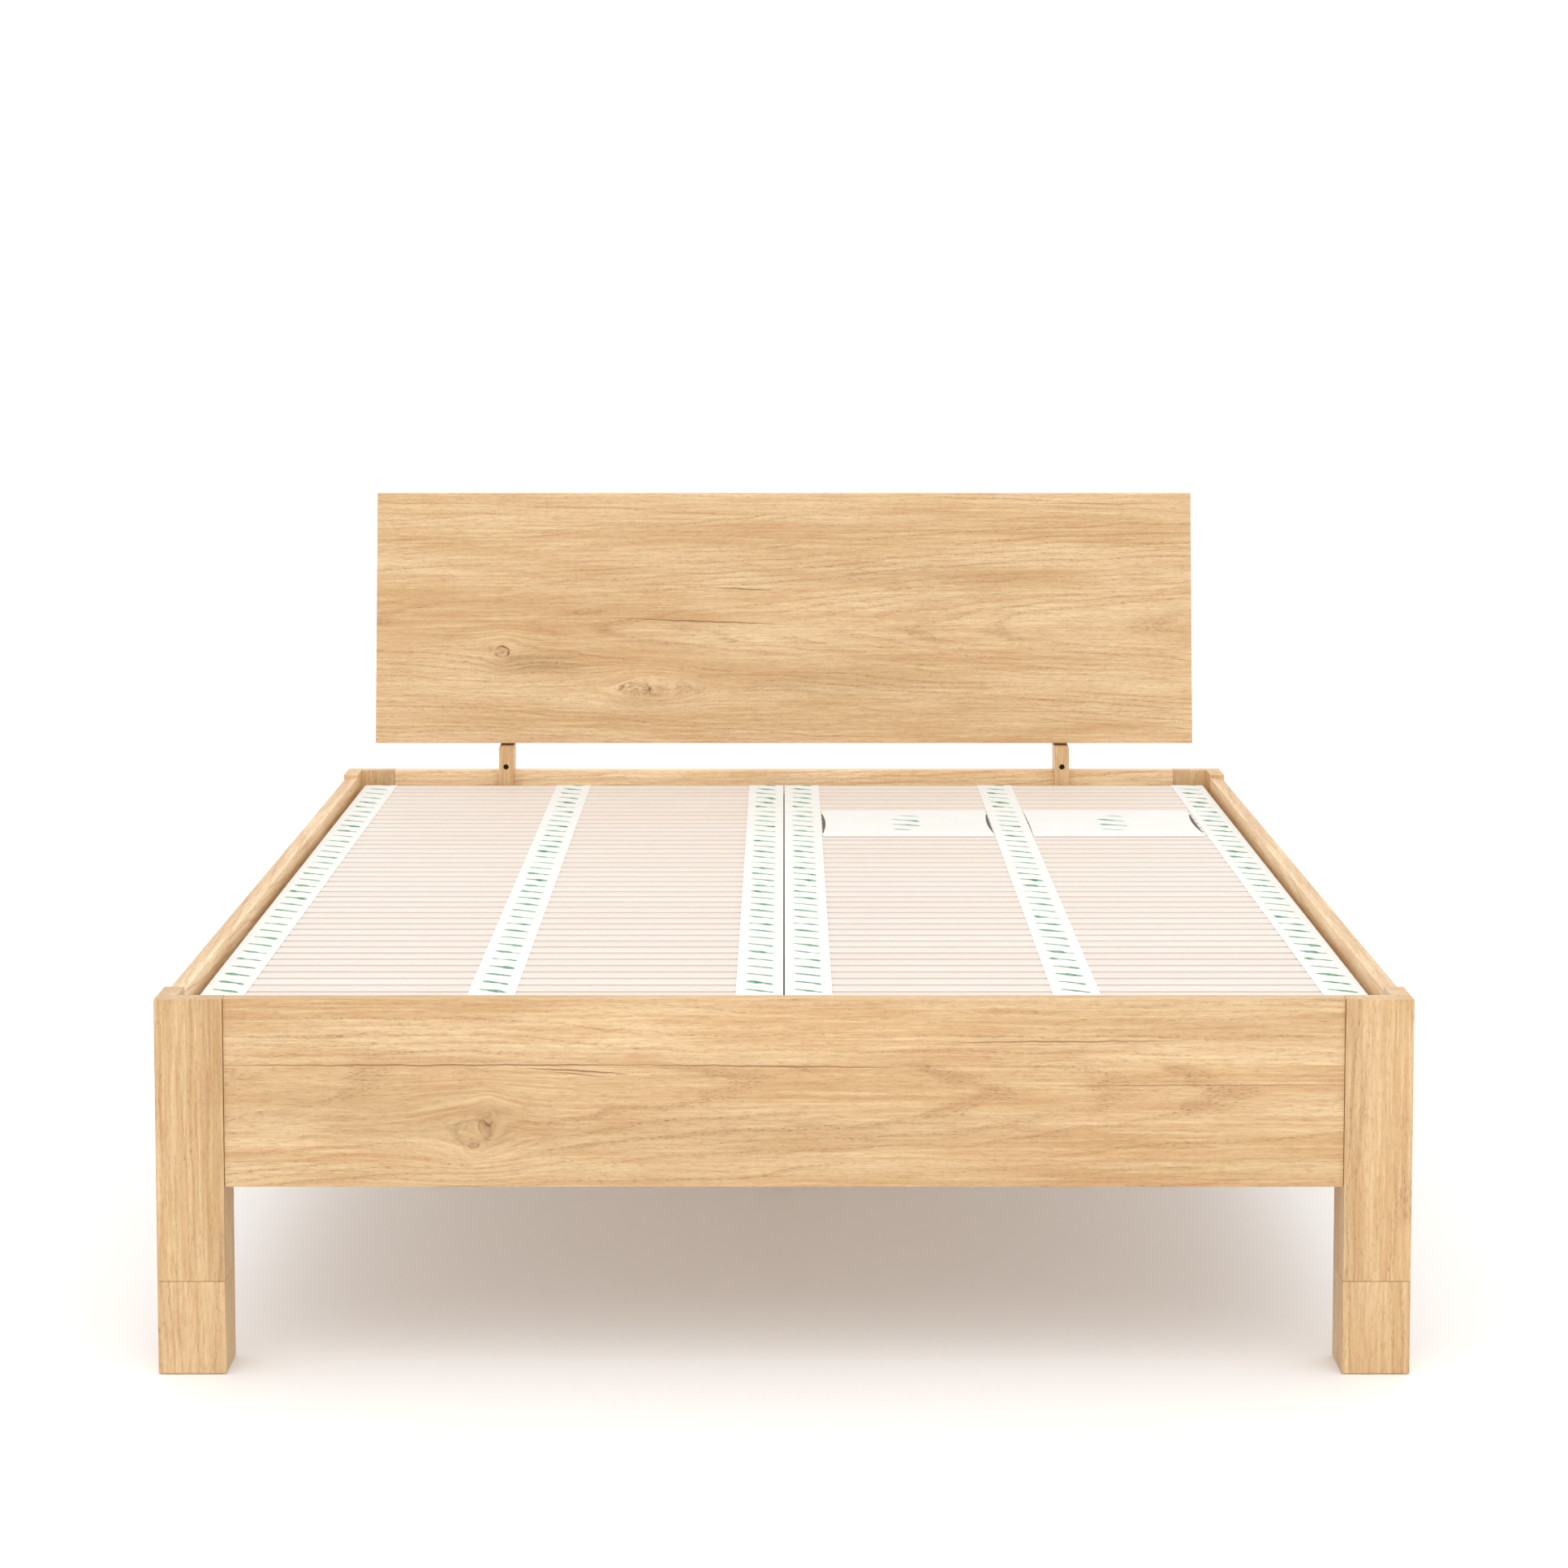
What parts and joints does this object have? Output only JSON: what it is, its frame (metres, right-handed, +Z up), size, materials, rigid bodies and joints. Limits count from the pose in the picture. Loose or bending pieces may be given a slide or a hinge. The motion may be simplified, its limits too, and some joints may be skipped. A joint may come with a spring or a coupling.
{
  "type": "bed frame",
  "caption": "Solid oak double bed frame with notched corner posts on block feet, a reclined clamp-on headboard and lift-out slat mats with cloth tapes.",
  "frame": {"origin": "middle of the floor plan of the whole bed, headboard included, on the floor", "axes": "+X across the bed to the right as seen from its foot end, +Y from the foot end to the head end, +Z up"},
  "size_m": [1.664, 2.1378, 1.031],
  "materials": {
    "oak": "oiled light oak, satin",
    "slat_wood": "pale planed softwood, matt",
    "white_cloth": "white woven tape and cloth",
    "zinc_steel": "bright zinc plate",
    "black_steel": "black oxide, satin",
    "grey_felt": "pressed grey felt"
  },
  "bodies": {
    "frame": {"centre_beam": "oak", "centre_leg": "oak", "centre_leg_dowel_screw": "zinc_steel", "centre_leg_glide": "grey_felt", "foot_beam_hanger": "zinc_steel", "foot_board": "oak", "foot_left_board_angle": "zinc_steel", "foot_left_board_bolt": "zinc_steel", "foot_left_dowel_screw": "zinc_steel", "foot_left_foot_block": "oak", "foot_left_glide": "grey_felt", "foot_left_post": "oak", "foot_left_rail_angle": "zinc_steel", "foot_left_rail_bolt": "zinc_steel", "foot_right_board_angle": "zinc_steel", "foot_right_board_bolt": "zinc_steel", "foot_right_dowel_screw": "zinc_steel", "foot_right_foot_block": "oak", "foot_right_glide": "grey_felt", "foot_right_post": "oak", "foot_right_rail_angle": "zinc_steel", "foot_right_rail_bolt": "zinc_steel", "head_beam_hanger": "zinc_steel", "head_left_board_angle": "zinc_steel", "head_left_board_bolt": "zinc_steel", "head_left_dowel_screw": "zinc_steel", "head_left_foot_block": "oak", "head_left_glide": "grey_felt", "head_left_post": "oak", "head_left_rail_angle": "zinc_steel", "head_left_rail_bolt": "zinc_steel", "head_rail": "oak", "head_right_board_angle": "zinc_steel", "head_right_board_bolt": "zinc_steel", "head_right_dowel_screw": "zinc_steel", "head_right_foot_block": "oak", "head_right_glide": "grey_felt", "head_right_post": "oak", "head_right_rail_angle": "zinc_steel", "head_right_rail_bolt": "zinc_steel", "headboard_panel": "oak", "left_clamp_bolt_lower": "black_steel", "left_clamp_bolt_upper": "black_steel", "left_clamp_jaw": "oak", "left_headboard_upright": "oak", "left_ledger": "oak", "left_side_rail": "oak", "right_clamp_bolt_lower": "black_steel", "right_clamp_bolt_upper": "black_steel", "right_clamp_jaw": "oak", "right_headboard_upright": "oak", "right_ledger": "oak", "right_side_rail": "oak"},
    "left_mat": {"left_slat_mat": "slat_wood"},
    "right_mat": {"right_slat_mat": "slat_wood", "inner_shoulder_cover": "white_cloth", "outer_shoulder_cover": "white_cloth"}
  },
  "joints": [
    {"name": "left_mat_lift", "type": "slide", "parent": "frame", "child": "left_mat", "axis": [0, 0, 1], "range_m": [0, 0.3]},
    {"name": "right_mat_lift", "type": "slide", "parent": "frame", "child": "right_mat", "axis": [0, 0, 1], "range_m": [0, 0.3]}
  ]
}
